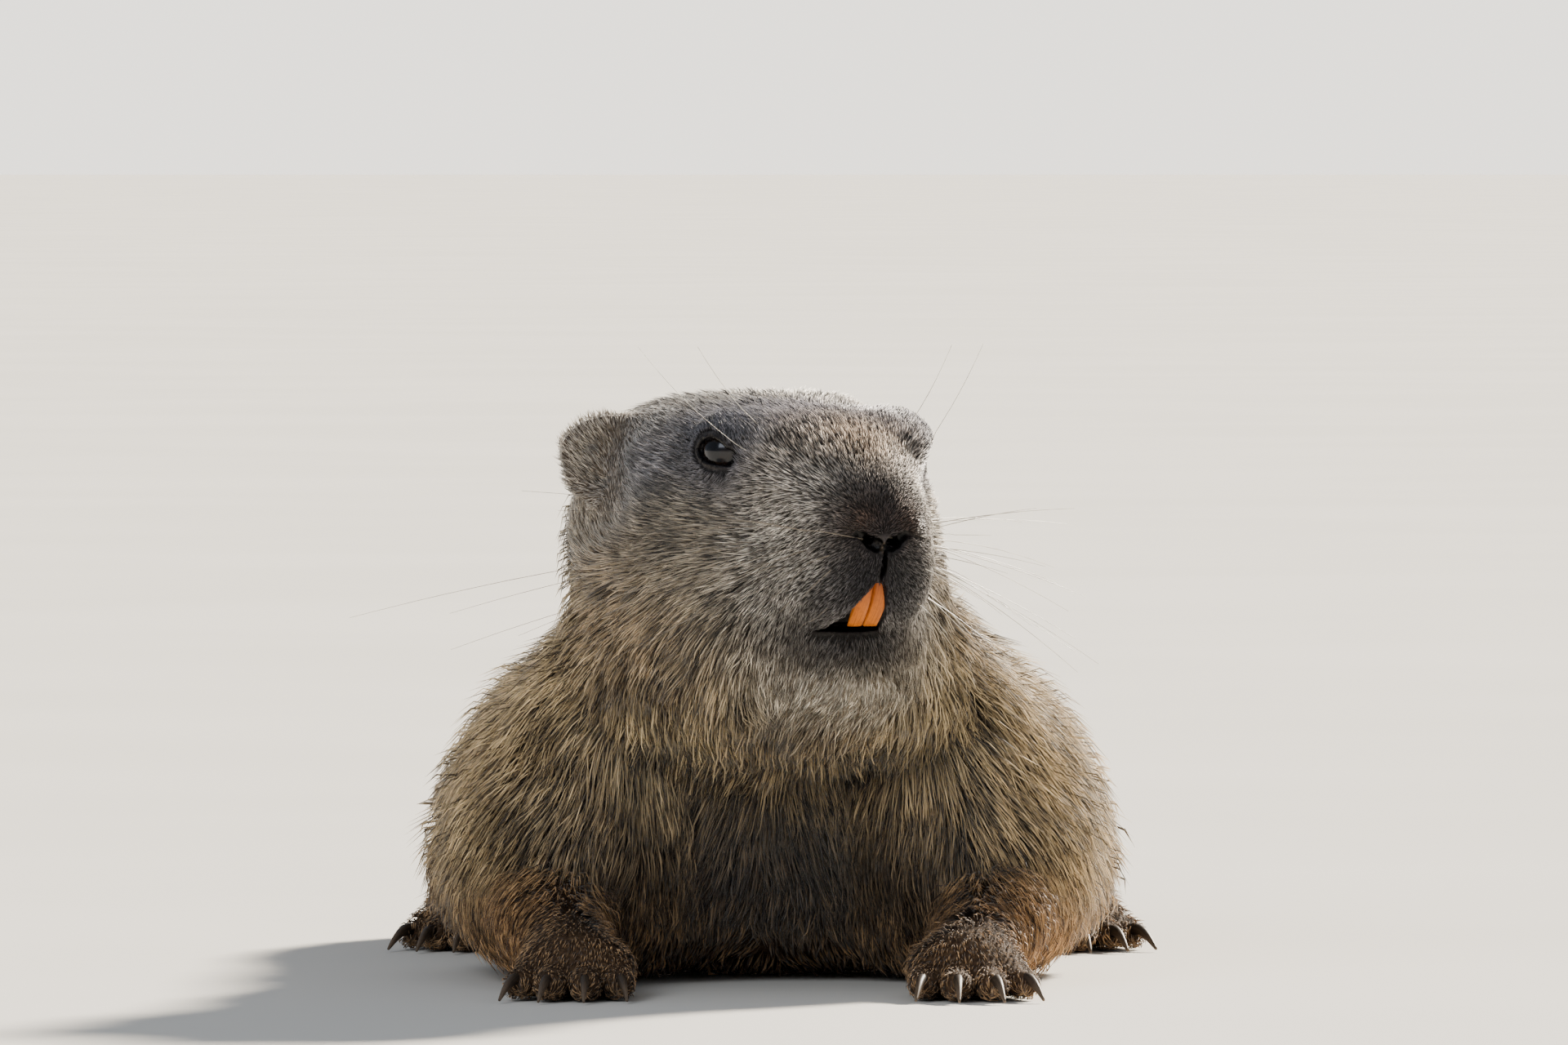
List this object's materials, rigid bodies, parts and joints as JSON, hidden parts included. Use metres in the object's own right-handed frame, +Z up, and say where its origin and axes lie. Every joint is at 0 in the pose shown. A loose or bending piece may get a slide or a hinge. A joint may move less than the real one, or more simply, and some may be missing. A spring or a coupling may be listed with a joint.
{
  "type": "alpine marmot",
  "caption": "Life-size still model of an alpine marmot lying on its belly, chest propped on its forelegs, head raised and turned to its left.",
  "frame": {"origin": "on the floor, under the middle of the animal's box", "axes": "+Z up, the animal faces -Y along its length, and its left side is towards +X"},
  "size_m": [0.2094, 0.5474, 0.1548],
  "materials": {
    "face_fur": "short slate-grey coat with pale tips",
    "ear_fur": "short grey-brown coat with a pale rim",
    "neck_fur": "grey-brown coat with straw tips",
    "back_fur": "coarse brown-grey coat with pale tips",
    "limb_fur": "reddish-buff coat",
    "tail_fur": "long dark brown coat, near black at the end",
    "eye": "wet, nearly black",
    "tooth": "orange enamel, polished",
    "claw": "dark horn, worn satin"
  },
  "bodies": {
    "root": {"ear_left": "ear_fur", "eye_left": "eye", "incisor_left": "tooth", "ear_right": "ear_fur", "eye_right": "eye", "incisor_right": "tooth", "lower_jaw": "face_fur", "head": "face_fur", "neck": "neck_fur", "trunk": "back_fur", "tail": "tail_fur", "foreleg_left": "limb_fur", "claw_fore_left_1": "claw", "claw_fore_left_2": "claw", "claw_fore_left_3": "claw", "claw_fore_left_4": "claw", "forefoot_left": "limb_fur", "foreleg_right": "limb_fur", "claw_fore_right_1": "claw", "claw_fore_right_2": "claw", "claw_fore_right_3": "claw", "claw_fore_right_4": "claw", "forefoot_right": "limb_fur", "hindleg_left": "limb_fur", "claw_hind_left_1": "claw", "claw_hind_left_2": "claw", "claw_hind_left_3": "claw", "claw_hind_left_4": "claw", "claw_hind_left_5": "claw", "hindfoot_left": "limb_fur", "hindleg_right": "limb_fur", "claw_hind_right_1": "claw", "claw_hind_right_2": "claw", "claw_hind_right_3": "claw", "claw_hind_right_4": "claw", "claw_hind_right_5": "claw", "hindfoot_right": "limb_fur"}
  },
  "joints": []
}
